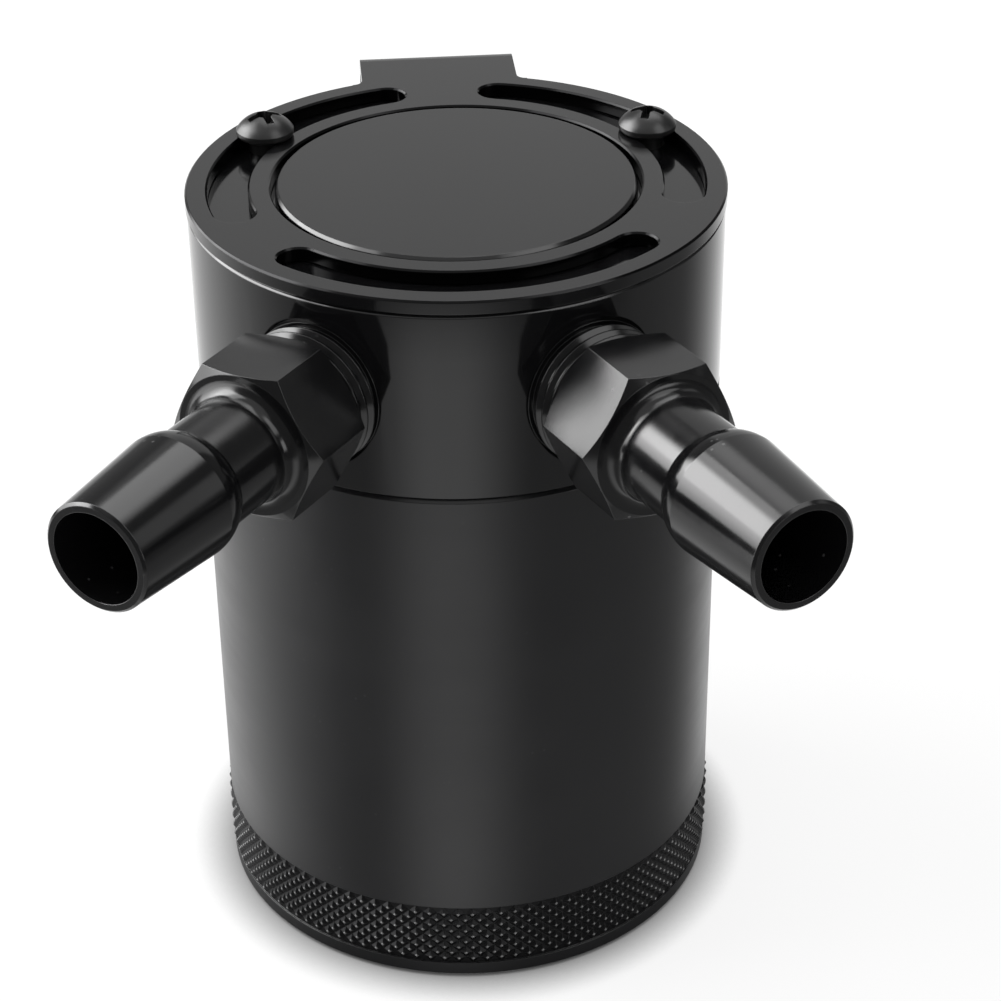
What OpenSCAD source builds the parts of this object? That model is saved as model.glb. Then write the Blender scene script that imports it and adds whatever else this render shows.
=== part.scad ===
// Two port oil catch can for an engine bay.
// A knurled reservoir screws on to a ported head that carries two hose barbs, a bronze filter
// and a baffle plate. A slotted ring bracket on top of the head swivels under two screws.
// Millimetres. Z is up, the can's axis is X = Y = 0 and its base stands on Z = 0.
// The bracket's leg hangs behind the can, square to +Y.

/* [Reservoir] */
// Outside diameter of the reservoir and of the head
body_d = 63.2; // [61.2:0.2:80]
// Height of the reservoir from its base to the seam
reservoir_h = 70; // [64:1:130]
// Wall of the reservoir below its thread
wall_t = 3.6; // [3.2:0.1:4.6]
// Thickness of the reservoir's floor
floor_t = 4; // [3:0.1:6]
// Radius between the floor and the wall inside
floor_fillet = 3; // [1:0.5:5]
// Chamfer round the foot of the reservoir
foot_chamfer = 0.6; // [0.2:0.1:1.2]
// Chamfer on both sides of the seam
seam_chamfer = 0.35; // [0.1:0.05:0.6]

/* [Knurled band] */
// Height of the plain lip below the knurled band
lip_h = 2.3; // [1.5:0.1:6]
// Height of the knurled band
knurl_h = 8.75; // [5:0.25:14]
// Width of one diamond round the girth
knurl_pitch = 1.79; // [1.7:0.01:2.6]
// How far the diamond tips stand out of the wall
knurl_proud = 0.25; // [0.1:0.05:0.4]
// Depth of the grooves below the diamond tips
knurl_depth = 0.45; // [0.3:0.05:0.6]

/* [Screw joint] */
// Wall of the reservoir round its threaded mouth
mouth_wall_t = 2.6; // [2.2:0.1:3]
// Depth of the threaded mouth
mouth_l = 13; // [11:0.5:16]
// Running clearance between the head's spigot and the mouth
spigot_gap = 0.1; // [0.05:0.01:0.2]
// Space below the end of the spigot
spigot_end_gap = 1.5; // [0.5:0.1:3]
// Wall of the spigot
spigot_wall_t = 3.4; // [3:0.1:4.5]
// Depth of the spigot's thread
spigot_thread_depth = 0.6; // [0.4:0.05:0.9]
// Thickness of the sealing ring's section
seal_section = 1.7; // [1.2:0.1:2]
// Clearance round the sealing ring in its groove
seal_gap = 0.1; // [0.05:0.01:0.15]
// Land between the seam and the sealing ring's groove
seal_land = 1.2; // [0.8:0.1:2]

/* [Head] */
// Height of the head from the seam to its top face
head_h = 23.3; // [22.5:0.1:32]
// Width of the ledge round the raised disc on top of the head
ledge_w = 10.35; // [10.2:0.05:12.4]
// Chamfer round the top of the head and of the raised disc
head_chamfer = 0.35; // [0.1:0.05:0.6]
// Turn of the head about the can's axis, away from the bracket
head_turn = -5; // [-30:0.5:30]
// Depth of the head's hollow above the seam
hollow_rise = 2; // [1:0.1:2.5]

/* [Ports] */
// Height of the ports' axes above the seam
port_rise = 11.6; // [11.4:0.1:13]
// Angle between the two ports
port_spread = 60; // [58:1:100]
// Diameter of the port thread
port_d = 16.66; // [14:0.01:17]
// Depth of the port thread
port_l = 9.6; // [9:0.1:10.5]
// Diameter of the drilled chamber behind each port thread
port_drill_d = 14; // [12:0.1:14]
// Metal left between the ends of the two drilled chambers
port_web = 2.2; // [2:0.1:4]
// Countersink round each port's mouth
port_sink = 0.8; // [0.3:0.1:1.2]
// Diameter of the passages inside the head
passage_d = 8; // [6:0.1:9]

/* [Hose fittings] */
// Length of the fitting's thread
fitting_thread_l = 12.2; // [11.5:0.1:12.8]
// Length of thread left between the head and the inlet fitting's hexagon
inlet_stand = 3.5; // [3.3:0.05:5]
// Length of thread left between the head and the outlet fitting's hexagon
outlet_stand = 4.05; // [3.3:0.05:5]
// Root diameter of the fitting's visible thread
fitting_root_d = 15.4; // [13:0.1:15.6]
// Width of the hexagon across its flats
hex_af = 17; // [16:0.1:22]
// Length of the hexagon
hex_l = 9.75; // [6:0.05:12]
// Slope of the hexagon's corner chamfers
hex_chamfer_angle = 30; // [15:1:40]
// Turn of the inlet fitting's hexagon about its own axis
inlet_hex_turn = 3; // [-30:1:30]
// Turn of the outlet fitting's hexagon about its own axis
outlet_hex_turn = -5; // [-30:1:30]
// Fillet between the hexagon and the neck
neck_fillet = 1.6; // [0.8:0.1:1.9]
// Diameter of the neck between the hexagon and the barb
neck_d = 12.35; // [11.6:0.05:13]
// Length from the hexagon to the start of the barb
neck_l = 9; // [7:0.1:14]
// Diameter of the barb's ridge
barb_d = 14.4; // [13.6:0.1:15.2]
// Length of the rounded back of the barb
barb_back_l = 3.3; // [2:0.1:4.5]
// Length of the barb's taper from the ridge to the tip
barb_taper_l = 13.5; // [9:0.1:18]
// Diameter of the barb's tip
tip_d = 12.55; // [11.6:0.05:13]
// Chamfer round the tip
tip_chamfer = 0.3; // [0.1:0.05:0.4]
// Bore of the fitting
fitting_bore_d = 10.5; // [8:0.1:10.6]

/* [Bracket] */
// How far the bracket's ring stands out past the head
ring_over = 0.15; // [0:0.05:1]
// Thickness of the bracket's plate
ring_t = 1.8; // [1.5:0.1:2.5]
// Chamfer on the edges of the bracket's ring and slots
ring_chamfer = 0.22; // [0.1:0.01:0.3]
// Gap between the raised disc and the ring
boss_gap = 0.55; // [0.2:0.05:0.8]
// Width of the arc slots
slot_w = 4.75; // [4.5:0.05:5]
// Angle of the bridges between the slots
bridge_angle = 20; // [18:0.5:26]
// Width of the bracket's leg
leg_w = 19.7; // [16:0.1:26]
// Gap between the edge of the ring and the leg
leg_gap = 7.55; // [5.5:0.05:25]
// Inside radius of the leg's bend
bend_r = 2; // [1.5:0.1:4]
// Length of the leg from the top of the ring to its end
leg_l = 42; // [38:0.5:80]
// Radius of the leg's lower corners
leg_corner_r = 3; // [1:0.5:6]
// Diameter of the leg's fixing holes
fixing_hole_d = 6.5; // [4.5:0.1:8.5]
// Distance between the fixing holes
fixing_pitch = 20; // [16:0.5:22]
// Distance from the lower fixing hole to the end of the leg
fixing_edge = 8; // [7:0.1:9]
// Radius where the leg's strip leaves the ring
strip_fillet = 1.2; // [0.5:0.1:2]

/* [Screws] */
// Thread diameter of the bracket screws
screw_d = 4; // [3.5:0.1:4.2]
// Length of the bracket screws under the head
screw_l = 8; // [6:0.5:9]
// Diameter of the bracket screws' heads
screw_head_d = 7; // [6.4:0.1:8]
// Height of the bracket screws' heads
screw_head_h = 2.85; // [2.2:0.05:3.2]
// Angle between the two bracket screws
screw_spread = 120; // [100:1:130]
// Turn of the bracket screws against the ports
screw_turn = 1; // [-10:0.1:10]
// Turn of the cross recess in the left bracket screw
left_recess_turn = 22; // [-45:1:45]
// Turn of the cross recess in the right bracket screw
right_recess_turn = -18; // [-45:1:45]

/* [Filter] */
// Diameter of the filter bush's thread
bush_d = 13.2; // [12:0.1:14]
// Length of the filter bush's thread
bush_thread_l = 5; // [4:0.1:5.6]
// Width of the filter bush's hexagon across its flats
bush_af = 16; // [15:0.1:18]
// Length of the filter bush's hexagon
bush_hex_l = 4; // [3:0.1:6]
// Length of the filter bush's spigot in the element
bush_spigot_l = 3; // [2:0.1:4]
// Bore of the filter bush
bush_bore_d = 7.6; // [6:0.1:8]
// Length of the sintered element
element_l = 17; // [12:0.5:19]
// Diameter of the sintered element at its top
element_d = 13.6; // [12.6:0.1:15]
// Diameter of the sintered element at its end
element_end_d = 11.4; // [10.6:0.1:12.4]
// Wall of the sintered element
element_wall_t = 1.5; // [1:0.1:1.8]

/* [Baffle] */
// Length of the standoffs between the head and the baffle plate
standoff_l = 26; // [24:0.5:36]
// Width of the standoffs across their flats
standoff_af = 6; // [5.5:0.1:7]
// Distance from the spigot's bore to the standoffs' axes
standoff_inset = 6.5; // [5.9:0.1:7]
// Thread diameter of the stud on top of each standoff
stud_d = 4; // [3:0.1:4.2]
// Length of the stud on top of each standoff
stud_l = 5; // [4:0.1:6]
// Thickness of the baffle plate
baffle_t = 1.5; // [1:0.1:3]
// Gap between the baffle plate and the reservoir's bore
baffle_gap = 0.8; // [0.5:0.1:1.5]
// Diameter of the drain holes
drain_d = 3.2; // [2:0.1:3.6]
// Number of drain holes near the rim
rim_holes = 24; // [12:1:28]
// Number of drain holes in the middle
inner_holes = 10; // [6:1:14]
// Thread diameter of the baffle screws
baffle_screw_d = 3; // [2.5:0.1:3.4]
// Length of the baffle screws under the head
baffle_screw_l = 6; // [5:0.5:10]
// Diameter of the baffle screws' heads
baffle_head_d = 5.6; // [5:0.1:6]
// Height of the baffle screws' heads
baffle_head_h = 2; // [1.5:0.1:2.4]

/* [Hidden] */
$fn = 96;

satin_black = [0.05, 0.05, 0.055];
gloss_black = [0.03, 0.03, 0.033];
screw_black = [0.09, 0.09, 0.09];
seal_black = [0.02, 0.02, 0.02];
bronze = [0.62, 0.45, 0.22];
brass = [0.75, 0.6, 0.3];
mill_aluminium = [0.7, 0.7, 0.72];
steel = [0.6, 0.6, 0.62];

// Clearance of parts that are screwed or pushed together and never move apart
seat_gap = 0.05;
// Overlap of cutters past the faces that they cut
past = 1;
// How much smaller the round ends of the slots are than the slots
slot_end_step = 0.02;
// How far the strip's fillets dip into the ring, so that they cut its edge at an angle
fillet_dip = 0.15;
// Spare depth of the tapped holes past the ends of what is screwed into them
tap_run = 1;
// Direction that the ports look to, before the head is turned
front = -90;
// Slots in the bracket's ring, the first one in front
slot_count = 3;
// Standoffs under the head, the first one at the back
standoff_count = 3;
// Turn that brings a flat of a hexagon to where its first corner lies
flat_turn = 30;
// How far inside its flats a hexagon's chamfers reach on its end face
hex_face_step = 0.1;
// Height of a pan head's rim and radius of its lower edge, as shares of the head's height
pan_rim_share = 0.33;
pan_edge_share = 0.2;
// Depth of a cross recess, as a share of the head's height
recess_depth_share = 0.6;
// Width and span of a cross recess, as shares of the head's diameter
recess_w_share = 0.14;
recess_span_share = 0.58;

body_r = body_d / 2;
bore_r = body_r - wall_t;
mouth_r = body_r - mouth_wall_t;
seam_z = reservoir_h;
head_top_z = seam_z + head_h;
ring_top_z = head_top_z + ring_t;
port_z = seam_z + port_rise;
hollow_z = seam_z + hollow_rise;

spigot_r = mouth_r - spigot_gap;
spigot_l = mouth_l - spigot_end_gap;
hollow_r = spigot_r - spigot_wall_t;
standoff_reach = hollow_r - standoff_inset;
// The chambers end where the metal between them is down to the web
port_drill_end = (port_drill_d + port_web) / (2 * sin(port_spread / 2));
passage_reach = port_drill_end + passage_d / 2;
seal_groove_w = seal_section + 4 * seal_gap;
seal_groove_r = spigot_r - seal_section + spigot_gap - 2 * seal_gap;
seal_z = seam_z - seal_land - seal_groove_w + 2 * seal_gap + seal_section / 2;
thread_top = seal_land + seal_groove_w + seal_land;

boss_r = body_r - ledge_w;
ring_r = body_r + ring_over;
ring_bore_r = boss_r + boss_gap;
slot_r = (ring_r + ring_bore_r) / 2;
slot_end_angle = asin(slot_w / 2 / slot_r);
slot_arc = 360 / slot_count - bridge_angle - 2 * slot_end_angle;
leg_reach = ring_r + leg_gap + ring_t;

// Stations along a hose fitting, from its threaded end to its tip
hex_front = fitting_thread_l + hex_l;
neck_end = hex_front + neck_l;
ridge_end = neck_end + barb_back_l;
fitting_l = ridge_end + barb_taper_l;
fitting_thread_d = port_d - 2 * seat_gap;

baffle_top_z = hollow_z - standoff_l;
baffle_z = baffle_top_z - baffle_t;
baffle_r = bore_r - baffle_gap;

// Turns a child that points up into one that points away from the can's axis at a height
module radial(angle, z) {
    translate([0, 0, z]) rotate([0, 0, angle]) rotate([0, 90, 0]) children();
}

// Puts a child at a distance from the can's axis, turned to face away from it
module around(angle, distance, z) {
    rotate([0, 0, angle]) translate([distance, 0, z]) children();
}

// Hexagonal bar with its corners chamfered at the chosen ends
module hex_bar(af, l, bottom = true, top = true) {
    corner_r = af / 2 / cos(30);
    face_r = af / 2 - hex_face_step;
    drop = (corner_r + past - face_r) * tan(hex_chamfer_angle);
    intersection() {
        cylinder(h = l, r = corner_r, $fn = 6);
        rotate_extrude() polygon([
            [0, 0],
            [bottom ? face_r : corner_r + past, 0],
            [corner_r + past, bottom ? drop : 0],
            [corner_r + past, top ? l - drop : l],
            [top ? face_r : corner_r + past, l],
            [0, l],
        ]);
    }
}

// Pan head screw that points down from its seat at Z = 0
module pan_screw(d, l, head_d, head_h, recess_turn) {
    dome_h = head_h * (1 - pan_rim_share);
    dome_r = (pow(head_d / 2, 2) + pow(dome_h, 2)) / (2 * dome_h);
    edge_r = head_h * pan_edge_share;
    arm_w = head_d * recess_w_share;
    arm_l = head_d * recess_span_share;
    recess_h = head_h * recess_depth_share;
    difference() {
        union() {
            rotate_extrude() intersection() {
                translate([0, head_h - dome_r]) circle(r = dome_r);
                union() {
                    square([head_d / 2 - edge_r, head_h]);
                    translate([0, edge_r]) square([head_d / 2, head_h]);
                    translate([head_d / 2 - edge_r, edge_r]) circle(r = edge_r);
                }
            }
            translate([0, 0, -l]) cylinder(h = l, d = d);
        }
        rotate([0, 0, recess_turn]) translate([0, 0, head_h - recess_h]) {
            translate([-arm_l / 2, -arm_w / 2, 0]) cube([arm_l, arm_w, head_h]);
            translate([-arm_w / 2, -arm_l / 2, 0]) cube([arm_w, arm_l, head_h]);
            cylinder(h = head_h, d = 2 * arm_w);
        }
    }
}

// The knurl is one closed ring of points: diamond tips and groove crossings take turns in each
// row, and each row is half a diamond further round than the row below it.
knurl_tip_r = body_r + knurl_proud;
knurl_groove_r = knurl_tip_r - knurl_depth;
// Metal between the grooves and the wall that the band is built on
knurl_back = 0.4;
knurl_core_r = knurl_groove_r - knurl_back;
knurl_inner_r = knurl_core_r - knurl_back;
knurl_count = round(2 * PI * knurl_tip_r / knurl_pitch);
knurl_rows = 2 * round(knurl_h / knurl_pitch);
knurl_steps = 2 * knurl_count;
knurl_flare = knurl_groove_r - knurl_inner_r;
// Lets the band's ends cross the wall's steps instead of lying on them
knurl_lap = 0.05;

function is_tip(i, j) = (i + j) % 2 == 1;
function knurl_r(i, j) = is_tip(i, j) && j > 0 && j < knurl_rows ? knurl_tip_r : knurl_groove_r;
function on_ring(i, r, z) = [r * cos(360 * i / knurl_steps), r * sin(360 * i / knurl_steps), z];
function knurl_id(i, j) = j * knurl_steps + (i + knurl_steps) % knurl_steps;

module knurled_band() {
    inner_bottom = knurl_rows + 1;
    inner_top = knurl_rows + 2;
    points = [
        for (j = [0:knurl_rows], i = [0:knurl_steps - 1])
            on_ring(i, knurl_r(i, j), lip_h + j * knurl_h / knurl_rows),
        for (i = [0:knurl_steps - 1]) on_ring(i, knurl_inner_r, lip_h - knurl_flare),
        for (i = [0:knurl_steps - 1]) on_ring(i, knurl_inner_r, lip_h + knurl_h + knurl_flare),
    ];
    facets = [
        for (j = [0:knurl_rows], i = [0:knurl_steps - 1]) if (is_tip(i, j)) each [
            if (j < knurl_rows) [knurl_id(i, j), knurl_id(i, j + 1), knurl_id(i + 1, j)],
            if (j > 0) [knurl_id(i, j), knurl_id(i + 1, j), knurl_id(i, j - 1)],
            if (j > 0) [knurl_id(i, j), knurl_id(i, j - 1), knurl_id(i - 1, j)],
            if (j < knurl_rows) [knurl_id(i, j), knurl_id(i - 1, j), knurl_id(i, j + 1)],
        ],
    ];
    ends = [
        for (i = [0:knurl_steps - 1]) each [
            [knurl_id(i, inner_bottom), knurl_id(i, 0), knurl_id(i + 1, 0), knurl_id(i + 1, inner_bottom)],
            [
                knurl_id(i, knurl_rows), knurl_id(i, inner_top),
                knurl_id(i + 1, inner_top), knurl_id(i + 1, knurl_rows)
            ],
            [
                knurl_id(i + 1, inner_bottom), knurl_id(i + 1, inner_top),
                knurl_id(i, inner_top), knurl_id(i, inner_bottom)
            ],
        ],
    ];
    polyhedron(points = points, faces = concat(facets, ends), convexity = 4);
}

module reservoir() {
    color(satin_black) {
        difference() {
            rotate_extrude() polygon([
                [0, 0],
                [body_r - foot_chamfer, 0],
                [body_r, foot_chamfer],
                [body_r, lip_h - knurl_lap],
                [knurl_core_r, lip_h - knurl_lap],
                [knurl_core_r, lip_h + knurl_h + knurl_lap],
                [body_r, lip_h + knurl_h + knurl_lap],
                [body_r, seam_z - seam_chamfer],
                [body_r - seam_chamfer, seam_z],
                [0, seam_z],
            ]);
            rotate_extrude() union() {
                translate([0, floor_t]) square([bore_r - floor_fillet, seam_z]);
                translate([0, floor_t + floor_fillet]) square([bore_r, seam_z]);
                translate([bore_r - floor_fillet, floor_t + floor_fillet]) circle(r = floor_fillet);
            }
            translate([0, 0, seam_z - mouth_l]) cylinder(h = mouth_l + past, r = mouth_r);
            translate([0, 0, seam_z - seam_chamfer])
                cylinder(h = 2 * seam_chamfer, r1 = mouth_r, r2 = mouth_r + 2 * seam_chamfer);
        }
        knurled_band();
    }
}

// Turned blank of the head, from the end of its spigot to the raised disc
module head_blank() {
    translate([0, 0, seam_z]) rotate_extrude() polygon([
        [0, -spigot_l],
        [spigot_r - 2 * spigot_thread_depth, -spigot_l],
        [spigot_r - spigot_thread_depth, -spigot_l + spigot_thread_depth],
        [spigot_r - spigot_thread_depth, -thread_top],
        [spigot_r, -thread_top],
        [spigot_r, 0],
        [body_r - seam_chamfer, 0],
        [body_r, seam_chamfer],
        [body_r, head_h - head_chamfer],
        [body_r - head_chamfer, head_h],
        [boss_r, head_h],
        [boss_r, head_h + ring_t - head_chamfer],
        [boss_r - head_chamfer, head_h + ring_t],
        [0, head_h + ring_t],
    ]);
}

// Threaded mouth and drilled chamber of one port
module port_cut(angle) {
    radial(angle, port_z) {
        translate([0, 0, body_r - port_l]) cylinder(h = port_l + past, d = port_d);
        translate([0, 0, body_r - port_sink])
            cylinder(h = 2 * port_sink, d1 = port_d, d2 = port_d + 4 * port_sink);
        translate([0, 0, port_drill_end]) cylinder(h = body_r - port_drill_end, d = port_drill_d);
    }
}

inlet_angle = head_turn + front - port_spread / 2;
outlet_angle = head_turn + front + port_spread / 2;
left_screw_angle = head_turn + screw_turn - front + screw_spread / 2;
right_screw_angle = head_turn + screw_turn - front - screw_spread / 2;
standoff_angles = [for (k = [0:standoff_count - 1]) head_turn - front + 360 * k / standoff_count];

module head() {
    color(gloss_black) difference() {
        head_blank();
        translate([0, 0, seam_z - spigot_l - past])
            cylinder(h = spigot_l + past + hollow_rise, r = hollow_r);
        translate([0, 0, seam_z - seal_land - seal_groove_w]) difference() {
            cylinder(h = seal_groove_w, r = spigot_r + past);
            translate([0, 0, -past]) cylinder(h = seal_groove_w + 2 * past, r = seal_groove_r);
        }
        port_cut(inlet_angle);
        port_cut(outlet_angle);
        around(inlet_angle, passage_reach, hollow_z - past)
            cylinder(h = port_rise - hollow_rise + past, d = passage_d);
        radial(outlet_angle, port_z) cylinder(h = port_drill_end + past, d = passage_d);
        translate([0, 0, hollow_z - past])
            cylinder(h = port_rise - hollow_rise + past, d = bush_d + 2 * seat_gap);
        for (angle = [left_screw_angle, right_screw_angle])
            around(angle, slot_r, ring_top_z - screw_l - tap_run)
                cylinder(h = screw_l + tap_run, d = screw_d + 2 * seat_gap);
        for (angle = standoff_angles) around(angle, standoff_reach, hollow_z - past)
            cylinder(h = stud_l + tap_run + past, d = stud_d + 2 * seat_gap);
    }
}

module head_oring() {
    color(seal_black) translate([0, 0, seal_z]) rotate_extrude()
        translate([mouth_r - seal_gap - seal_section / 2, 0]) circle(d = seal_section);
}

// Cutter for one arc slot, with its chamfer at both faces of the plate
module slot_section() {
    half = slot_w / 2;
    polygon([
        [slot_r - half - ring_chamfer - past, ring_t + past],
        [slot_r - half, ring_t - ring_chamfer],
        [slot_r - half, ring_chamfer],
        [slot_r - half - ring_chamfer - past, -past],
        [slot_r + half + ring_chamfer + past, -past],
        [slot_r + half, ring_chamfer],
        [slot_r + half, ring_t - ring_chamfer],
        [slot_r + half + ring_chamfer + past, ring_t + past],
    ]);
}

// Round end of a slot, a touch smaller than the slot so that it crosses the arc's end face
module slot_end() {
    half = slot_w / 2 - slot_end_step;
    rotate_extrude() polygon([
        [0, -past],
        [half + ring_chamfer + past, -past],
        [half, ring_chamfer],
        [half, ring_t - ring_chamfer],
        [half + ring_chamfer + past, ring_t + past],
        [0, ring_t + past],
    ]);
}

module arc_slot(middle) {
    rotate([0, 0, middle - slot_arc / 2]) rotate_extrude(angle = slot_arc) slot_section();
    around(middle + slot_arc / 2, slot_r, 0) slot_end();
    around(middle - slot_arc / 2, slot_r, 0) slot_end();
}

// Flat strip from the ring to the bend, with fillets where it leaves the ring
module strip() {
    strip_start = slot_r + slot_w / 2 + 2 * ring_chamfer;
    strip_end = leg_reach - ring_t - bend_r;
    corner_r = ring_r + strip_fillet - fillet_dip;
    corner_y = sqrt(pow(corner_r, 2) - pow(leg_w / 2 + strip_fillet, 2));
    linear_extrude(ring_t) {
        translate([-leg_w / 2, strip_start]) square([leg_w, strip_end - strip_start]);
        for (side = [-1, 1]) difference() {
            translate([side * leg_w / 2, strip_start])
                mirror([side < 0 ? 1 : 0, 0]) square([strip_fillet, corner_y - strip_start]);
            translate([side * (leg_w / 2 + strip_fillet), corner_y]) circle(r = strip_fillet);
        }
    }
}

module leg() {
    bend_y = leg_reach - ring_t - bend_r;
    translate([-leg_w / 2, bend_y, -bend_r]) rotate([90, 0, 90]) linear_extrude(leg_w)
        intersection() {
            difference() {
                circle(r = bend_r + ring_t);
                circle(r = bend_r);
            }
            square(bend_r + ring_t);
        }
    translate([0, leg_reach, ring_t]) rotate([90, 0, 0]) linear_extrude(ring_t) difference() {
        union() {
            translate([-leg_w / 2, -leg_l + leg_corner_r])
                square([leg_w, leg_l - leg_corner_r - ring_t - bend_r]);
            translate([-leg_w / 2 + leg_corner_r, -leg_l]) square([leg_w - 2 * leg_corner_r, leg_l / 2]);
            for (side = [-1, 1])
                translate([side * (leg_w / 2 - leg_corner_r), -leg_l + leg_corner_r])
                    circle(r = leg_corner_r);
        }
        for (y = [0, fixing_pitch]) translate([0, -leg_l + fixing_edge + y]) circle(d = fixing_hole_d);
    }
}

module bracket() {
    color(gloss_black) translate([0, 0, head_top_z]) {
        difference() {
            rotate_extrude() polygon([
                [ring_bore_r + ring_chamfer, 0],
                [ring_r - ring_chamfer, 0],
                [ring_r, ring_chamfer],
                [ring_r, ring_t - ring_chamfer],
                [ring_r - ring_chamfer, ring_t],
                [ring_bore_r + ring_chamfer, ring_t],
                [ring_bore_r, ring_t - ring_chamfer],
                [ring_bore_r, ring_chamfer],
            ]);
            for (k = [0:slot_count - 1]) arc_slot(front + 360 * k / slot_count);
        }
        strip();
        leg();
    }
}

module bracket_screw(angle, recess_turn) {
    color(screw_black) around(angle, slot_r, ring_top_z)
        pan_screw(screw_d, screw_l, screw_head_d, screw_head_h, recess_turn - angle);
}

// Outline of the fitting from its threaded end to its tip, without the hexagon and the bore.
// The thread is at full diameter inside the port and at root diameter outside it, and the
// rounded back of the barb runs into its taper.
module fitting_outline(stand) {
    rise = (barb_d - neck_d) / 2;
    back_r = (pow(barb_back_l, 2) + pow(rise, 2)) / (2 * rise);
    square([fitting_thread_d / 2, fitting_thread_l - stand - port_sink]);
    square([fitting_root_d / 2, fitting_thread_l + past]);
    translate([0, hex_front - past]) square([neck_d / 2, fitting_l - hex_front]);
    difference() {
        translate([0, hex_front - past]) square([neck_d / 2 + neck_fillet, neck_fillet + past]);
        translate([neck_d / 2 + neck_fillet, hex_front + neck_fillet]) circle(r = neck_fillet);
    }
    intersection() {
        translate([barb_d / 2 - back_r, ridge_end]) circle(r = back_r);
        translate([0, neck_end - past]) square([barb_d, barb_back_l + past]);
    }
    polygon([
        [0, ridge_end - past],
        [neck_d / 2, ridge_end - past],
        [barb_d / 2, ridge_end],
        [tip_d / 2, fitting_l - tip_chamfer],
        [tip_d / 2 - tip_chamfer, fitting_l],
        [0, fitting_l],
    ]);
}

module fitting(angle, stand, hex_turn) {
    color(gloss_black) radial(angle, port_z) translate([0, 0, body_r + stand - fitting_thread_l])
        difference() {
            union() {
                rotate_extrude() fitting_outline(stand);
                translate([0, 0, fitting_thread_l]) rotate([0, 0, flat_turn + hex_turn])
                    hex_bar(hex_af, hex_l);
            }
            translate([0, 0, -past]) cylinder(h = fitting_l + 2 * past, d = fitting_bore_d);
        }
}

module filter_bush() {
    color(brass) difference() {
        union() {
            translate([0, 0, hollow_z]) cylinder(h = bush_thread_l, d = bush_d);
            translate([0, 0, hollow_z - bush_hex_l]) hex_bar(bush_af, bush_hex_l);
            translate([0, 0, hollow_z - bush_hex_l - bush_spigot_l])
                cylinder(h = bush_spigot_l + past, d = element_d - 2 * element_wall_t - 2 * seat_gap);
        }
        translate([0, 0, hollow_z - bush_hex_l - bush_spigot_l - past])
            cylinder(h = bush_thread_l + bush_hex_l + bush_spigot_l + 2 * past, d = bush_bore_d);
    }
}

module filter_element() {
    end_r = element_end_d / 2;
    mouth_in_r = element_d / 2 - element_wall_t;
    cone_l = element_l - bush_spigot_l;
    color(bronze) translate([0, 0, hollow_z - bush_hex_l - element_l]) rotate_extrude() polygon([
        [0, 0],
        [end_r - element_wall_t, 0],
        [end_r, element_wall_t],
        [element_d / 2, cone_l],
        [element_d / 2, element_l],
        [mouth_in_r, element_l],
        [mouth_in_r, cone_l],
        [end_r - element_wall_t, element_wall_t],
        [0, element_wall_t],
    ]);
}

module baffle_plate() {
    rim_ring_r = (standoff_reach + standoff_af / 2 + baffle_r) / 2;
    inner_ring_r = standoff_reach - standoff_af;
    color(mill_aluminium) difference() {
        translate([0, 0, baffle_z]) cylinder(h = baffle_t, r = baffle_r);
        for (k = [0:rim_holes - 1])
            around(head_turn + 360 * (k + 1 / 2) / rim_holes, rim_ring_r, baffle_z - past)
                cylinder(h = baffle_t + 2 * past, d = drain_d);
        for (k = [0:inner_holes - 1])
            around(head_turn + 360 * k / inner_holes, inner_ring_r, baffle_z - past)
                cylinder(h = baffle_t + 2 * past, d = drain_d);
        for (angle = standoff_angles) around(angle, standoff_reach, baffle_z - past)
            cylinder(h = baffle_t + 2 * past, d = baffle_screw_d + 2 * seat_gap);
    }
}

module baffle_standoff(angle) {
    color(mill_aluminium) around(angle, standoff_reach, baffle_top_z) difference() {
        union() {
            hex_bar(standoff_af, standoff_l);
            translate([0, 0, standoff_l - past]) cylinder(h = stud_l + past, d = stud_d);
        }
        translate([0, 0, -past])
            cylinder(h = baffle_screw_l - baffle_t + tap_run + past, d = baffle_screw_d + 2 * seat_gap);
    }
}

module baffle_screw(angle) {
    color(steel) around(angle, standoff_reach, baffle_z) rotate([180, 0, 0])
        pan_screw(baffle_screw_d, baffle_screw_l, baffle_head_d, baffle_head_h, angle);
}

reservoir();
head();
head_oring();
bracket();
bracket_screw(left_screw_angle, left_recess_turn);  // bracket_screw_left
bracket_screw(right_screw_angle, right_recess_turn);  // bracket_screw_right
fitting(inlet_angle, inlet_stand, inlet_hex_turn);  // inlet_fitting
fitting(outlet_angle, outlet_stand, outlet_hex_turn);  // outlet_fitting
filter_bush();
filter_element();
baffle_plate();
baffle_standoff(standoff_angles[0]);  // baffle_standoff_1
baffle_standoff(standoff_angles[1]);  // baffle_standoff_2
baffle_standoff(standoff_angles[2]);  // baffle_standoff_3
baffle_screw(standoff_angles[0]);  // baffle_screw_1
baffle_screw(standoff_angles[1]);  // baffle_screw_2
baffle_screw(standoff_angles[2]);  // baffle_screw_3
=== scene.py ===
# Looks of the two port oil catch can: black anodised finishes, cut threads, floor, light, camera.
import math

import bmesh
import bpy
from mathutils import Matrix, Vector


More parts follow.
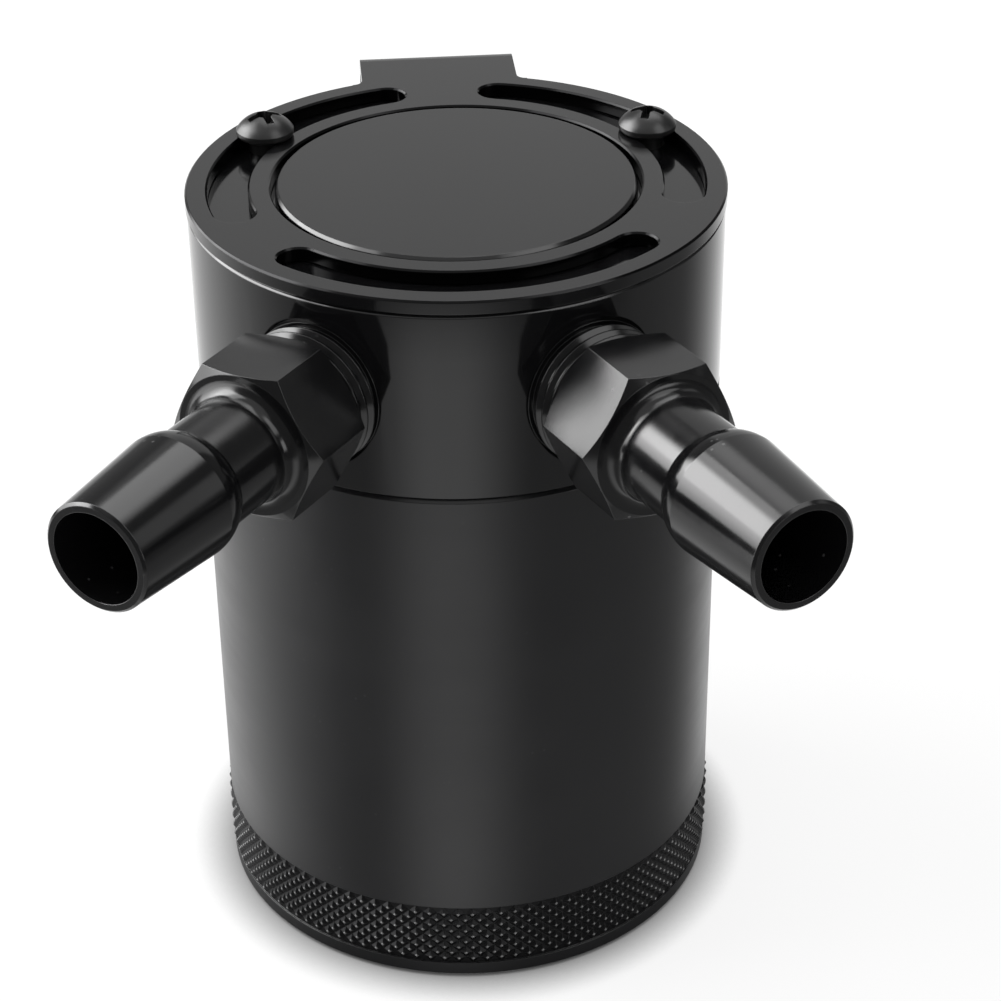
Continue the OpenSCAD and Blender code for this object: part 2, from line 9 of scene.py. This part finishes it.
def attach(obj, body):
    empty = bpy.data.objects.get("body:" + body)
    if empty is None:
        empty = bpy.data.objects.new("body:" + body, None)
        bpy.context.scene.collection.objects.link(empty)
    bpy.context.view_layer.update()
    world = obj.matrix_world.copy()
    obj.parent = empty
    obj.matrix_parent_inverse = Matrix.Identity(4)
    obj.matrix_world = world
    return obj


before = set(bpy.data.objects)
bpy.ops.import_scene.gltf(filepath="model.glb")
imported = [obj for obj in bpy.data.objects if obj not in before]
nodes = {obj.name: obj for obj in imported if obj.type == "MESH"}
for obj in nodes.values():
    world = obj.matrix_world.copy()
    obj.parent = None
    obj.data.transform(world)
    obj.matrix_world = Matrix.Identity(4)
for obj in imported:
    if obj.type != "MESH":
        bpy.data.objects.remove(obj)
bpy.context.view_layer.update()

# Sizes, in metres
MM = 0.001
SEAM_Z = 70 * MM
BODY_R = 31.6 * MM
PORT_Z = 81.6 * MM
INLET_STAND = 3.5 * MM
OUTLET_STAND = 4.05 * MM
PIPE_PITCH = 1.337 * MM
PIPE_CREST_R = 8.24 * MM
PIPE_ROOT_R = 7.55 * MM
SPIGOT_PITCH = 1.5 * MM
SPIGOT_CREST_R = 28.88 * MM
SPIGOT_ROOT_R = 28.2 * MM
# A pipe thread starts inside its port's countersink: where, and by how much it is longer for that
PIPE_THREAD_START = -0.35 * MM
PIPE_THREAD_SUNK = 0.6 * MM
SPIGOT_THREAD_START = SEAM_Z - 10.9 * MM

# Turns of the spigot's thread, and turns by which a pipe thread stops short of the hexagon
SPIGOT_TURNS = 3.9
PIPE_TURNS_SHORT = 0.6

# Directions, in degrees
HEAD_TURN = -5
INLET_ANGLE = HEAD_TURN - 120
OUTLET_ANGLE = HEAD_TURN - 60
BRACKET_TURN = -3.5

# In millimetres: the knurled band's lower and upper end, radius of its grooves and of its tips
KNURL_BAND = (2.35, 11.0, 31.69, 31.79)
# The mouth's thread: pitch, radii and heights it lies between, in millimetres, and its strength
MOUTH_THREAD = (1.5, 28.8, 29.4, 57.0, 70.0, 12.0)
# Radius inside which the bracket's walls are darkened as painted shade, in millimetres
BRACKET_INSIDE_R = 31.2

# Brightness of the room's parts as the metal mirrors them, and of what lights dull surfaces
TABLE_FRONT, TABLE_BACK, TABLE_SIDES = 0.9, 0.85, 0.28
WALLS, BACKDROP = 0.17, 0.52
BOX_LOW, BOX_HIGH, BOX_GLOW = 3.8, 4.4, 3.0
STRIP, UPPER_STRIP, WINDOW = 2.6, 2.0, 0.6
FILL, FLOOR_GLOW, LAMP_WATTS = 0.9, 0.75, 2.4

# The camera as solved from the photo: lens in mm, place in metres, turns in radians
CAMERA_LENS = 95.04
CAMERA_PLACE = (0, -0.2841014, 0.2240192)
CAMERA_PAN, CAMERA_TILT, CAMERA_ROLL = -0.0167125, -0.5475304, 0.0114824


def turned(axis, degrees):
    return Matrix.Rotation(math.radians(degrees), 4, axis)


# Places a shape drawn along +Z on the axis of a port, at a distance from the can's axis
def on_port(angle, distance):
    return Matrix.Translation((0, 0, PORT_Z)) @ turned("Z", angle) @ turned("Y", 90) \
        @ Matrix.Translation((0, 0, distance))


# An empty node group, with its input and output nodes
def new_group(name, inputs, outputs):
    group = bpy.data.node_groups.new(name, "ShaderNodeTree")
    for label, kind, value in inputs:
        socket = group.interface.new_socket(label, in_out="INPUT", socket_type=kind)
        if value is not None:
            socket.default_value = value
    for label, kind in outputs:
        group.interface.new_socket(label, in_out="OUTPUT", socket_type=kind)
    return group, group.nodes.new("NodeGroupInput"), group.nodes.new("NodeGroupOutput")


def add(tree, kind, settings=None, values=None):
    node = tree.nodes.new(kind)
    for key, value in (settings or {}).items():
        setattr(node, key, value)
    for key, value in (values or {}).items():
        node.inputs[key].default_value = value
    return node


def link(tree, source, target):
    tree.links.new(source, target)


def maths(tree, operation, first, second=None, clamp=False):
    node = add(tree, "ShaderNodeMath", {"operation": operation, "use_clamp": clamp})
    for place, value in ((0, first), (1, second)):
        if value is None:
            continue
        if isinstance(value, (int, float)):
            node.inputs[place].default_value = value
        else:
            link(tree, value, node.inputs[place])
    return node.outputs[0]


def times(tree, *values):
    product = values[0]
    for value in values[1:]:
        product = maths(tree, "MULTIPLY", product, value)
    return product


# 1 where a value lies between two others, else 0
def between(tree, value, low, high):
    return times(tree, maths(tree, "GREATER_THAN", value, low), maths(tree, "LESS_THAN", value, high))


# Carries a value softly from one range to another
def spread(tree, value, low, high, to_low=0.0, to_high=1.0):
    node = add(tree, "ShaderNodeMapRange", {"interpolation_type": "SMOOTHSTEP"},
               {"From Min": low, "From Max": high, "To Min": to_low, "To Max": to_high})
    link(tree, value, node.inputs["Value"])
    return node.outputs["Result"]


# Radius and height of a point about the local Z axis, in millimetres, and its turn in radians
def radius_and_height(tree, vector):
    parts = add(tree, "ShaderNodeSeparateXYZ")
    link(tree, vector, parts.inputs[0])
    squares = maths(tree, "ADD", times(tree, parts.outputs[0], parts.outputs[0]),
                    times(tree, parts.outputs[1], parts.outputs[1]))
    radius = times(tree, maths(tree, "SQRT", squares), 1000.0)
    height = times(tree, parts.outputs[2], 1000.0)
    turn = maths(tree, "ARCTAN2", parts.outputs[1], parts.outputs[0])
    return radius, height, turn


# Fine lines that a lathe leaves: the same all the way round, changing along the outline
def turning_lines():
    tree, given, out = new_group(
        "turning lines",
        [("Vector", "NodeSocketVector", None), ("Lines per mm", "NodeSocketFloat", 6.0)],
        [("Height", "NodeSocketFloat"), ("Band", "NodeSocketFloat")])
    radius, height, turn = radius_and_height(tree, given.outputs["Vector"])
    line = add(tree, "ShaderNodeCombineXYZ")
    link(tree, times(tree, radius, given.outputs["Lines per mm"]), line.inputs[0])
    link(tree, times(tree, height, given.outputs["Lines per mm"]), line.inputs[1])
    link(tree, times(tree, maths(tree, "SINE", turn), 0.15), line.inputs[2])
    fine = add(tree, "ShaderNodeTexNoise", None, {"Scale": 1.0, "Detail": 3.0, "Roughness": 0.7})
    link(tree, line.outputs[0], fine.inputs["Vector"])
    broad = add(tree, "ShaderNodeTexNoise", None, {"Scale": 0.09, "Detail": 2.0})
    link(tree, line.outputs[0], broad.inputs["Vector"])
    link(tree, fine.outputs[0], out.inputs["Height"])
    link(tree, broad.outputs[0], out.inputs["Band"])
    return tree


# Light handling: soft smudges and sparse specks of dust
def handling():
    tree, given, out = new_group(
        "handling", [("Vector", "NodeSocketVector", None)],
        [("Smudge", "NodeSocketFloat"), ("Dust", "NodeSocketFloat"), ("Fine", "NodeSocketFloat")])
    smudge = add(tree, "ShaderNodeTexNoise", None,
                 {"Scale": 45.0, "Detail": 4.0, "Roughness": 0.55, "Distortion": 0.6})
    specks = add(tree, "ShaderNodeTexVoronoi", {"feature": "F1"}, {"Scale": 620.0, "Randomness": 1.0})
    patches = add(tree, "ShaderNodeTexNoise", None, {"Scale": 130.0, "Detail": 2.0})
    fine = add(tree, "ShaderNodeTexNoise", None, {"Scale": 2600.0, "Detail": 2.0, "Roughness": 0.6})
    for texture in (smudge, specks, patches, fine):
        link(tree, given.outputs["Vector"], texture.inputs["Vector"])
    dot = spread(tree, specks.outputs["Distance"], 0.05, 0.16, 1.0, 0.0)
    where = spread(tree, patches.outputs[0], 0.56, 0.68)
    link(tree, smudge.outputs[0], out.inputs["Smudge"])
    link(tree, times(tree, dot, where), out.inputs["Dust"])
    link(tree, fine.outputs[0], out.inputs["Fine"])
    return tree


# Mask of the edges, found by how far a rounded normal turns from the true one
def edges():
    tree, given, out = new_group("edges", [("Radius", "NodeSocketFloat", 0.00015)],
                                 [("Mask", "NodeSocketFloat"), ("Normal", "NodeSocketVector")])
    rounded = add(tree, "ShaderNodeBevel", {"samples": 6})
    link(tree, given.outputs["Radius"], rounded.inputs["Radius"])
    true = add(tree, "ShaderNodeNewGeometry")
    dot = add(tree, "ShaderNodeVectorMath", {"operation": "DOT_PRODUCT"})
    link(tree, rounded.outputs[0], dot.inputs[0])
    link(tree, true.outputs["Normal"], dot.inputs[1])
    link(tree, spread(tree, dot.outputs["Value"], 0.8, 0.99, 1.0, 0.0), out.inputs["Mask"])
    link(tree, rounded.outputs[0], out.inputs["Normal"])
    return tree


TURNING = turning_lines()
HANDLING = handling()
EDGES = edges()


def use(tree, group):
    node = tree.nodes.new("ShaderNodeGroup")
    node.node_tree = group
    return node


def mix_colour(tree, mask, low, high):
    node = add(tree, "ShaderNodeMix", {"data_type": "RGBA"})
    link(tree, mask, node.inputs[0])
    node.inputs[6].default_value = (*low, 1)
    node.inputs[7].default_value = (*high, 1)
    return node.outputs[2]


# Starts a material and hands back its tree, its shader and the coordinates on the piece
def new_material(name, place=None):
    material = bpy.data.materials.new(name)
    material.use_nodes = True
    tree = material.node_tree
    tree.nodes.clear()
    shader = tree.nodes.new("ShaderNodeBsdfPrincipled")
    out = tree.nodes.new("ShaderNodeOutputMaterial")
    link(tree, shader.outputs[0], out.inputs["Surface"])
    vector = tree.nodes.new("ShaderNodeTexCoord").outputs["Object"]
    if place is not None:
        mapping = add(tree, "ShaderNodeMapping", {"vector_type": "TEXTURE"})
        mapping.inputs["Location"].default_value = place.to_translation()
        mapping.inputs["Rotation"].default_value = place.to_euler()
        link(tree, vector, mapping.inputs["Vector"])
        vector = mapping.outputs[0]
    return material, tree, shader, vector


# Black anodised aluminium, turned about the local Z axis; its edges get a lighter colour, partly wear
# and partly a painted highlight
def anodised(name, place=None, colour=(0.0035, 0.0035, 0.0038), wear_and_sheen=(0.03, 0.03, 0.031),
             rough=(0.12, 0.2), lines=6.0, line_depth=0.15, edge_r=0.00015, dust=0.5,
             thread=None, knurl=None, shade_inside=None):
    material, tree, shader, vector = new_material(name, place)
    turning = use(tree, TURNING)
    turning.inputs["Lines per mm"].default_value = lines
    link(tree, vector, turning.inputs["Vector"])
    marks = use(tree, HANDLING)
    link(tree, vector, marks.inputs["Vector"])
    edge = use(tree, EDGES)
    edge.inputs["Radius"].default_value = edge_r
    smudge = marks.outputs["Smudge"]
    rough_base = spread(tree, smudge, 0.3, 0.75, rough[0], rough[1])
    rough_full = maths(tree, "ADD", rough_base, times(tree, turning.outputs["Band"], 0.05), clamp=True)
    # Edge mask times smudges: partly wear, partly a painted highlight along the edges; dust specks
    # take the same lighter colour
    edge_wear_and_sheen = times(tree, edge.outputs["Mask"], spread(tree, smudge, 0.35, 0.7, 0.3, 1.0))
    dust_and_sheen = maths(tree, "MAXIMUM", edge_wear_and_sheen, times(tree, marks.outputs["Dust"], dust))
    paint = mix_colour(tree, dust_and_sheen, colour, wear_and_sheen)
    if knurl is not None:
        # Painted highlights: the diamonds' tips get a lighter colour; the band is made partly
        # metallic, which with the black colour darkens the grooves as painted shade, and the grooves
        # are also rougher
        z_low, z_high, r_groove, r_tip = knurl
        radius, height, turn = radius_and_height(tree, vector)
        band = between(tree, height, z_low, z_high)
        tips = times(tree, band, spread(tree, radius, r_groove, r_tip))
        dull = maths(tree, "SUBTRACT", band, tips)
        rough_full = maths(tree, "ADD", rough_full, times(tree, dull, 0.1), clamp=True)
        painted_tip_highlight = add(tree, "ShaderNodeMix", {"data_type": "RGBA"}, {7: (0.2, 0.2, 0.2, 1)})
        link(tree, tips, painted_tip_highlight.inputs[0])
        link(tree, paint, painted_tip_highlight.inputs[6])
        paint = painted_tip_highlight.outputs[2]
        link(tree, times(tree, band, 0.65), shader.inputs["Metallic"])
    if shade_inside is not None:
        # Chamfers, and the walls inside this radius, are made largely metallic, which with the black
        # colour makes them mirror almost nothing: painted shade on these inner walls, and darker
        # chamfers
        facing = add(tree, "ShaderNodeSeparateXYZ")
        link(tree, tree.nodes.new("ShaderNodeNewGeometry").outputs["True Normal"], facing.inputs[0])
        upright = maths(tree, "ABSOLUTE", facing.outputs[2])
        radius, height, turn = radius_and_height(tree, vector)
        chamfer = between(tree, upright, 0.3, 0.95)
        inner = times(tree, maths(tree, "LESS_THAN", upright, 0.3),
                      maths(tree, "LESS_THAN", radius, shade_inside))
        shade_mask = maths(tree, "MAXIMUM", chamfer, inner)
        link(tree, times(tree, shade_mask, 0.75), shader.inputs["Metallic"])
    link(tree, rough_full, shader.inputs["Roughness"])
    link(tree, paint, shader.inputs["Base Color"])
    lift = maths(tree, "ADD", times(tree, turning.outputs["Height"], line_depth),
                 times(tree, marks.outputs["Fine"], line_depth * 0.5))
    if thread is not None:
        pitch, r_low, r_high, z_low, z_high, depth = thread
        radius, height, turn = radius_and_height(tree, vector)
        climb = maths(tree, "SUBTRACT", times(tree, height, 1 / pitch),
                      times(tree, turn, 0.5 / math.pi))
        wave = maths(tree, "PINGPONG", climb, 0.5)
        here = times(tree, between(tree, radius, r_low, r_high), between(tree, height, z_low, z_high))
        lift = maths(tree, "ADD", lift, times(tree, wave, here, depth))
    bump = add(tree, "ShaderNodeBump", None, {"Strength": 0.35, "Distance": 0.00002})
    link(tree, lift, bump.inputs["Height"])
    link(tree, edge.outputs["Normal"], bump.inputs["Normal"])
    link(tree, bump.outputs[0], shader.inputs["Normal"])
    shader.inputs["IOR"].default_value = 1.5
    return material


# Bare metal, turned, or sintered where it has grain
def bare_metal(name, colour, dull, rough, lines=3.0, depth=0.4, grain=0.0):
    material, tree, shader, vector = new_material(name)
    turning = use(tree, TURNING)
    turning.inputs["Lines per mm"].default_value = lines
    link(tree, vector, turning.inputs["Vector"])
    marks = use(tree, HANDLING)
    link(tree, vector, marks.inputs["Vector"])
    edge = use(tree, EDGES)
    paint = mix_colour(tree, spread(tree, marks.outputs["Smudge"], 0.3, 0.75), colour, dull)
    link(tree, paint, shader.inputs["Base Color"])
    link(tree, spread(tree, turning.outputs["Band"], 0.3, 0.7, rough[0], rough[1]),
         shader.inputs["Roughness"])
    height = times(tree, turning.outputs["Height"], depth)
    if grain > 0:
        balls = add(tree, "ShaderNodeTexVoronoi", {"feature": "SMOOTH_F1"},
                    {"Scale": 2600.0, "Smoothness": 0.4})
        link(tree, vector, balls.inputs["Vector"])
        height = maths(tree, "SUBTRACT", height, times(tree, balls.outputs["Distance"], grain))
    bump = add(tree, "ShaderNodeBump", None, {"Strength": 0.6, "Distance": 0.00006})
    link(tree, height, bump.inputs["Height"])
    link(tree, edge.outputs["Normal"], bump.inputs["Normal"])
    link(tree, bump.outputs[0], shader.inputs["Normal"])
    shader.inputs["Metallic"].default_value = 1.0
    return material


# Rubber of the sealing ring
def rubber(name):
    material, tree, shader, vector = new_material(name)
    marks = use(tree, HANDLING)
    link(tree, vector, marks.inputs["Vector"])
    paint = mix_colour(tree, marks.outputs["Smudge"], (0.006, 0.006, 0.006), (0.012, 0.012, 0.012))
    link(tree, paint, shader.inputs["Base Color"])
    link(tree, spread(tree, marks.outputs["Smudge"], 0.3, 0.7, 0.4, 0.6), shader.inputs["Roughness"])
    bump = add(tree, "ShaderNodeBump", None, {"Strength": 0.3, "Distance": 0.00003})
    link(tree, marks.outputs["Fine"], bump.inputs["Height"])
    link(tree, bump.outputs[0], shader.inputs["Normal"])
    return material


satin = anodised("satin black anodised", colour=(0.004, 0.004, 0.0045), rough=(0.27, 0.34),
                 lines=9.0, line_depth=0.5, thread=MOUTH_THREAD, knurl=KNURL_BAND)
gloss = anodised("gloss black anodised", wear_and_sheen=(0.014, 0.014, 0.014), rough=(0.05, 0.09))
coat = anodised("smooth black coat", wear_and_sheen=(0.011, 0.011, 0.011), rough=(0.07, 0.12), lines=3.0,
                line_depth=0.1, edge_r=0.0001, shade_inside=BRACKET_INSIDE_R)
fitting = {"wear_and_sheen": (0.07, 0.07, 0.07), "rough": (0.07, 0.2), "lines": 5.0, "line_depth": 0.5,
           "edge_r": 0.00012, "dust": 1.0}
inlet_black = anodised("inlet fitting black", on_port(INLET_ANGLE, 0), **fitting)
outlet_black = anodised("outlet fitting black", on_port(OUTLET_ANGLE, 0), **fitting)
screw_black = anodised("screw black", colour=(0.008, 0.008, 0.008), wear_and_sheen=(0.06, 0.06, 0.06),
                       rough=(0.26, 0.36), lines=4.0, edge_r=0.00012)
seal = rubber("seal rubber")
brass = bare_metal("turned brass", (0.72, 0.52, 0.2), (0.55, 0.38, 0.15), (0.18, 0.32))
bronze = bare_metal("sintered bronze", (0.5, 0.33, 0.14), (0.36, 0.23, 0.1), (0.38, 0.55),
                    depth=0.1, grain=2.5)
aluminium = bare_metal("mill aluminium", (0.72, 0.72, 0.74), (0.6, 0.6, 0.62), (0.25, 0.4), lines=2.0)
zinc = bare_metal("zinc plated steel", (0.62, 0.62, 0.6), (0.5, 0.5, 0.48), (0.25, 0.38))

finishes = {
    "reservoir": satin, "head": gloss, "head_oring": seal, "bracket": coat,
    "bracket_screw_left": screw_black, "bracket_screw_right": screw_black,
    "inlet_fitting": inlet_black, "outlet_fitting": outlet_black,
    "filter_bush": brass, "filter_element": bronze, "baffle_plate": aluminium,
    "baffle_standoff_1": aluminium, "baffle_standoff_2": aluminium, "baffle_standoff_3": aluminium,
    "baffle_screw_1": zinc, "baffle_screw_2": zinc, "baffle_screw_3": zinc,
}
for name, material in finishes.items():
    for slot in nodes[name].material_slots:
        slot.material = material


# Outward normals and smooth faces
def smooth(bm):
    bmesh.ops.recalc_face_normals(bm, faces=bm.faces)
    for face in bm.faces:
        face.smooth = True


def place_piece(name, bm, material, where=None):
    if where is not None:
        bmesh.ops.transform(bm, matrix=where, verts=bm.verts)
    mesh = bpy.data.meshes.new(name)
    bm.to_mesh(mesh)
    bm.free()
    mesh.materials.append(material)
    piece = bpy.data.objects.new(name, mesh)
    bpy.context.scene.collection.objects.link(piece)
    return piece


# One closed ridge that winds along +Z from a start height, with flat flanks and closed ends.
# Its half widths at crest and root are shares of the pitch.
def thread_ridge(root_r, crest_r, pitch, turns, start_z, steps_a_turn=72):
    bm = bmesh.new()
    side = [(crest_r, 0.07), (root_r, 0.46)]
    outline = [(r, -share * pitch) for r, share in reversed(side)] \
        + [(r, share * pitch) for r, share in side]
    first = [bm.verts.new((r, 0, start_z + z)) for r, z in outline]
    rim = [bm.edges.new((first[i - 1], first[i])) for i in range(len(first))]
    steps = int(steps_a_turn * turns)
    spun = bmesh.ops.spin(bm, geom=first + rim, cent=(0, 0, 0), axis=(0, 0, 1),
                          angle=math.tau * turns, dvec=(0, 0, pitch * turns / steps), steps=steps)
    last = [e for e in spun["geom_last"] if isinstance(e, bmesh.types.BMEdge)]
    bmesh.ops.contextual_create(bm, geom=rim)
    bmesh.ops.contextual_create(bm, geom=last)
    smooth(bm)
    for edge in bm.edges:
        edge.smooth = edge.calc_face_angle(0) < math.radians(25)
    return bm


pipe_threads = [("inlet_thread", INLET_ANGLE, INLET_STAND, inlet_black),
                ("outlet_thread", OUTLET_ANGLE, OUTLET_STAND, outlet_black)]
for name, angle, stand, material in pipe_threads:
    turns = (stand + PIPE_THREAD_SUNK) / PIPE_PITCH - PIPE_TURNS_SHORT
    ridge = thread_ridge(PIPE_ROOT_R, PIPE_CREST_R, PIPE_PITCH, turns, PIPE_THREAD_START)
    piece = place_piece(name, ridge, material, on_port(angle, BODY_R))
    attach(piece, "head")

spigot = thread_ridge(SPIGOT_ROOT_R, SPIGOT_CREST_R, SPIGOT_PITCH, SPIGOT_TURNS,
                      SPIGOT_THREAD_START, 144)
piece = place_piece("spigot_thread", spigot, gloss)
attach(piece, "head")


# Pale floor, which the metal doesn't mirror
def stage_floor():
    bm = bmesh.new()
    bmesh.ops.create_grid(bm, x_segments=1, y_segments=1, size=3.0)
    material, tree, shader, vector = new_material("pale floor")
    shader.inputs["Roughness"].default_value = 1.0
    shader.inputs["Specular IOR Level"].default_value = 0.0
    cloud = add(tree, "ShaderNodeTexNoise", None, {"Scale": 2.0})
    link(tree, vector, cloud.inputs["Vector"])
    paint = mix_colour(tree, cloud.outputs[0], (0.26, 0.26, 0.26), (0.28, 0.28, 0.28))
    link(tree, paint, shader.inputs["Base Color"])
    # Close to what stands on it the floor loses its own light, which gives a tight contact shadow
    near = add(tree, "ShaderNodeAmbientOcclusion", {"samples": 12}, {"Distance": 0.006})
    shade = maths(tree, "POWER", near.outputs["AO"], 2.3)
    shader.inputs["Emission Color"].default_value = (1, 1, 1, 1)
    link(tree, times(tree, shade, FLOOR_GLOW), shader.inputs["Emission Strength"])
    floor = place_piece("floor", bm, material)
    floor.visible_glossy = False


def light_panel(name, where, aim, width, height, power):
    data = bpy.data.lights.new(name, "AREA")
    data.shape = "RECTANGLE"
    data.size, data.size_y, data.energy = width, height, power
    lamp = bpy.data.objects.new(name, data)
    lamp.location = where
    lamp.rotation_euler = (Vector(aim) - Vector(where)).to_track_quat("-Z", "Y").to_euler()
    bpy.context.scene.collection.objects.link(lamp)


# One patch of the room: 1 between two bearings and two heights, with soft borders, in degrees
def patch(tree, bearing, height, left, right, low, high, soft=4.0):
    sides = times(tree, spread(tree, bearing, left - soft, left + soft),
                  spread(tree, bearing, right - soft, right + soft, 1.0, 0.0))
    ends = times(tree, spread(tree, height, low - soft, low + soft),
                 spread(tree, height, high - soft, high + soft, 1.0, 0.0))
    return times(tree, sides, ends)


# The studio as the polished metal mirrors it, by bearing from the front and height, in degrees:
# a large soft box on the left, a bright ceiling and backdrop, a lit table and dark walls.
# Dull surfaces get an even fill.
def room():
    world = bpy.data.worlds.new("room")
    bpy.context.scene.world = world
    world.use_nodes = True
    world.cycles.sampling_method = "NONE"
    tree = world.node_tree
    tree.nodes.clear()
    out = tree.nodes.new("ShaderNodeOutputWorld")
    fill = add(tree, "ShaderNodeBackground", None, {"Color": (1, 1, 1, 1), "Strength": FILL})
    seen = add(tree, "ShaderNodeBackground", None, {"Strength": 1.0})
    direction = tree.nodes.new("ShaderNodeTexCoord").outputs["Generated"]
    turn_back = add(tree, "ShaderNodeMapping", {"vector_type": "TEXTURE"})
    turn_back.inputs["Rotation"].default_value = (0, 0, math.radians(BRACKET_TURN))
    link(tree, direction, turn_back.inputs["Vector"])
    parts = add(tree, "ShaderNodeSeparateXYZ")
    link(tree, turn_back.outputs[0], parts.inputs[0])
    degree = 180 / math.pi
    ahead = times(tree, parts.outputs[1], -1.0)
    bearing = times(tree, maths(tree, "ARCTAN2", parts.outputs[0], ahead), degree)
    height = times(tree, maths(tree, "ARCSINE", parts.outputs[2]), degree)

    # The table: bright in front, dark at both sides, bright again behind
    front = times(tree, spread(tree, bearing, -44.0, -12.0),
                  spread(tree, bearing, -2.0, 32.0, 1.0, 0.0))
    behind = maths(tree, "MAXIMUM", spread(tree, bearing, -58.0, -128.0),
                   spread(tree, bearing, 108.0, 155.0))
    table = maths(tree, "ADD", times(tree, front, TABLE_FRONT), times(tree, behind, TABLE_BACK))
    table = times(tree, maths(tree, "ADD", table, TABLE_SIDES),
                  spread(tree, height, -22.0, -12.0, 1.0, 0.0))

    # The walls, and the backdrop behind with a darker gap
    walls = times(tree, spread(tree, height, -22.0, -12.0), WALLS)
    back = patch(tree, maths(tree, "ABSOLUTE", bearing), height, 142.0, 999.0, -18.0, 46.0)
    back = times(tree, back, BACKDROP)
    gap = patch(tree, bearing, height, -170.0, -136.0, 0.0, 48.0)
    back = times(tree, back, maths(tree, "SUBTRACT", 1.0, times(tree, gap, 0.8)))

    # The soft box on the left, with leaning borders and brighter upwards, and its glow on the table
    lean = times(tree, maths(tree, "MAXIMUM", maths(tree, "SUBTRACT", height, 16.0), 0.0), 0.6)
    left_border = spread(tree, maths(tree, "SUBTRACT", bearing, lean), -144.0, -130.0)
    right_border = maths(tree, "ADD", bearing, times(tree, height, 0.4))
    right_border = spread(tree, right_border, -68.0, -60.0, 1.0, 0.0)
    level = maths(tree, "ADD", spread(tree, height, -8.0, -1.0, 0.0, BOX_LOW),
                  spread(tree, height, 2.0, 22.0, 0.0, BOX_HIGH))
    level = times(tree, level, spread(tree, height, 42.0, 52.0, 1.0, 0.0))
    box = times(tree, left_border, right_border, level)
    glow = times(tree, patch(tree, bearing, height, -98.0, 0.0, -21.0, -4.0, 3.0), right_border,
                 BOX_GLOW)

    # The strips and the window on the right, and the ceiling, brighter towards the rear
    strip = times(tree, patch(tree, bearing, height, 38.0, 63.0, -18.0, 12.0, 2.5), STRIP)
    upper_strip = times(tree, patch(tree, bearing, height, 38.0, 80.0, 26.0, 60.0, 3.0), UPPER_STRIP)
    window = times(tree, patch(tree, bearing, height, 88.0, 102.0, 8.0, 32.0), WINDOW)
    rear = maths(tree, "ADD", spread(tree, bearing, 105.0, 130.0, 0.6, 3.0),
                 spread(tree, bearing, -120.0, -160.0, 0.0, 1.6))
    ceiling = times(tree, spread(tree, height, 44.0, 49.0), rear)

    total = maths(tree, "ADD", table, walls)
    for light in (back, box, glow, strip, upper_strip, window, ceiling):
        total = maths(tree, "ADD", total, light)
    link(tree, total, seen.inputs["Color"])
    path = tree.nodes.new("ShaderNodeLightPath")
    mixed = tree.nodes.new("ShaderNodeMixShader")
    link(tree, path.outputs["Is Glossy Ray"], mixed.inputs[0])
    link(tree, fill.outputs[0], mixed.inputs[1])
    link(tree, seen.outputs[0], mixed.inputs[2])
    link(tree, mixed.outputs[0], out.inputs["Surface"])


# Sheet that only the metal mirrors: a painted contact shadow round the can's foot, and painted shade
# on the table in front, beyond its lit part
def reflected_shade_card():
    bm = bmesh.new()
    bmesh.ops.create_grid(bm, x_segments=1, y_segments=1, size=0.6)
    bmesh.ops.transform(bm, matrix=Matrix.Translation((0, 0, 0.00002)), verts=bm.verts)
    material, tree, shader, vector = new_material("reflected shade card")
    shader.inputs["Roughness"].default_value = 1.0
    shader.inputs["Specular IOR Level"].default_value = 0.0
    cloud = add(tree, "ShaderNodeTexNoise", None, {"Scale": 40.0})
    link(tree, vector, cloud.inputs["Vector"])
    paint = mix_colour(tree, cloud.outputs[0], (0.1, 0.1, 0.1), (0.15, 0.15, 0.15))
    link(tree, paint, shader.inputs["Base Color"])
    radius, height, turn = radius_and_height(tree, vector)
    # Painted shade on the table in front, beyond its lit part
    ahead = times(tree, spread(tree, radius, 188.0, 236.0),
                  spread(tree, maths(tree, "SINE", turn), -0.3, -0.5))
    # Painted contact shadow round the can's foot
    contact_shadow = spread(tree, radius, 31.8, 45.0, 0.85, 0.0)
    link(tree, maths(tree, "MAXIMUM", ahead, contact_shadow), shader.inputs["Alpha"])
    card = place_piece("reflected_shade_card", bm, material)
    card.visible_camera = card.visible_diffuse = card.visible_shadow = False


stage_floor()
room()
reflected_shade_card()
light_panel("left panel", (-0.45, 0.1, 0.5), (0, 0, 0.02), 0.45, 0.45, LAMP_WATTS)

scene = bpy.context.scene
scene.view_settings.view_transform = "Standard"
camera_data = bpy.data.cameras.new("camera")
camera_data.sensor_width = 36
camera_data.lens = CAMERA_LENS
camera = bpy.data.objects.new("camera", camera_data)
scene.collection.objects.link(camera)
place = turned("Z", BRACKET_TURN) @ Vector(CAMERA_PLACE)
camera.matrix_world = Matrix.Translation(place) \
    @ turned("Z", BRACKET_TURN + math.degrees(CAMERA_PAN)) @ turned("X", math.degrees(CAMERA_TILT)) \
    @ turned("Y", math.degrees(CAMERA_ROLL)) @ turned("X", 90)
scene.camera = camera
